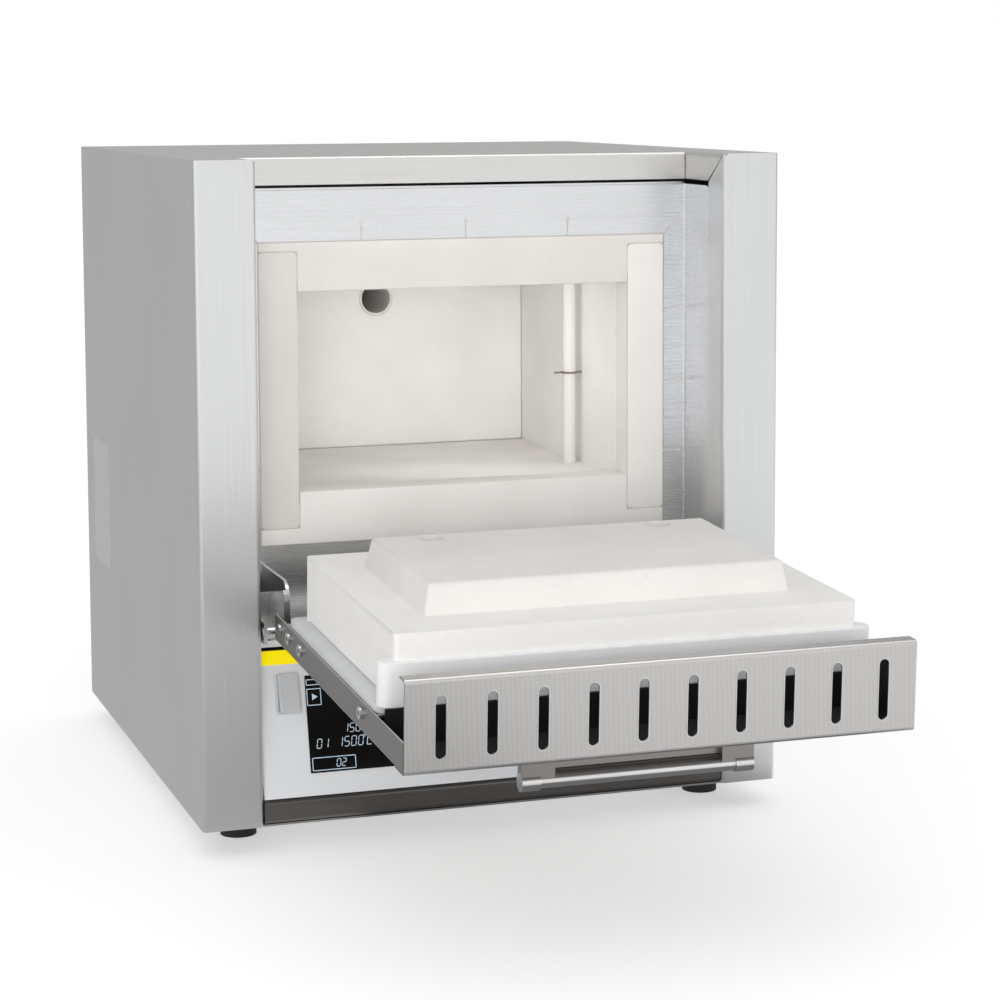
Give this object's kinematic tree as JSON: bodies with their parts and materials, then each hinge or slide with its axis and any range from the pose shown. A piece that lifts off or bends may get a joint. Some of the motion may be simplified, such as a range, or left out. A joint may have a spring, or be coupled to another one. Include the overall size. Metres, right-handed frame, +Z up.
{
  "type": "muffle furnace",
  "caption": "Bench muffle furnace with a ceramic chamber, a flap door that folds down to a shelf, and a control panel with a display and a power switch.",
  "frame": {"origin": "on the floor under the middle of the footprint, with the door open", "axes": "+X across the furnace to the right seen from the front, +Y from front to back, +Z up"},
  "size_m": [0.465, 0.8604, 0.52],
  "materials": {
    "casing_grey": "satin powder coat",
    "top_grey": "satin powder coat",
    "zinc_sheet": "zinc-plated",
    "foot_rubber": "matte",
    "rail_steel": "dark brushed",
    "brushed_sheet": "brushed along its width",
    "collar_ceramic": "matte vacuum-formed fibre",
    "chamber_ceramic": "matte",
    "heating_wire": "oxidised",
    "fibre_wool": "matte fibre",
    "tube_ceramic": "matte",
    "panel_white": "satin",
    "warning_yellow": "satin film",
    "display_black": "gloss",
    "black_plastic": "matte",
    "switch_plastic": "semi-gloss",
    "terminal_cream": "matte",
    "screw_steel": "bright zinc",
    "door_sheet": "fine ground",
    "board_grey": "matte board",
    "brick_white": "matte vacuum-formed fibre",
    "post_aluminium": "satin",
    "bar_steel": "polished"
  },
  "bodies": {
    "furnace": {"left_side_panel": "casing_grey", "right_side_panel": "casing_grey", "top_cover": "top_grey", "rear_panel": "casing_grey", "base_plate": "zinc_sheet", "feet": "foot_rubber", "bottom_rail": "rail_steel", "deck_plate": "brushed_sheet", "front_frame": "brushed_sheet", "inner_housing": "zinc_sheet", "housing_supports": "zinc_sheet", "collar_top_brick": "collar_ceramic", "collar_bottom_brick": "collar_ceramic", "left_jamb_brick": "collar_ceramic", "right_jamb_brick": "collar_ceramic", "chamber_floor": "chamber_ceramic", "chamber_roof": "chamber_ceramic", "chamber_rear_plate": "chamber_ceramic", "left_heating_plate": "chamber_ceramic", "right_heating_plate": "chamber_ceramic", "heating_coils": "heating_wire", "left_insulation": "fibre_wool", "right_insulation": "fibre_wool", "top_insulation": "fibre_wool", "bottom_insulation": "fibre_wool", "rear_insulation": "fibre_wool", "element_tubes": "tube_ceramic", "tube_clips": "heating_wire", "thermocouple": "tube_ceramic", "exhaust_tube": "tube_ceramic", "control_panel": "panel_white", "warning_band": "warning_yellow", "display_glass": "display_black", "controller_module": "black_plastic", "switch_bezel": "switch_plastic", "power_relay": "black_plastic", "terminal_block": "terminal_cream", "mains_inlet": "black_plastic", "casing_screws": "screw_steel", "left_hinge_bracket": "brushed_sheet", "right_hinge_bracket": "brushed_sheet", "hinge_pins": "screw_steel"},
    "door": {"left_hinge_arm": "zinc_sheet", "right_hinge_arm": "zinc_sheet", "door_pan": "door_sheet", "board_supports": "zinc_sheet", "door_board": "board_grey", "door_strip": "board_grey", "door_brick": "brick_white", "door_plug": "brick_white", "brick_anchors": "tube_ceramic", "door_screws": "screw_steel", "door_nuts": "screw_steel", "handle_posts": "post_aluminium", "handle_bar": "bar_steel", "handle_sleeves": "post_aluminium"},
    "rocker": {"power_rocker": "switch_plastic"}
  },
  "joints": [
    {"name": "door_hinge", "type": "hinge", "parent": "furnace", "child": "door", "pos_m": [0, -0.07779, 0.167], "axis": [-1, 0, 0], "range_deg": [0, 93]},
    {"name": "rocker_hinge", "type": "hinge", "parent": "furnace", "child": "rocker", "pos_m": [-0.162, -0.06225, 0.11437], "axis": [1, 0, 0], "range_deg": [0, 16]}
  ]
}
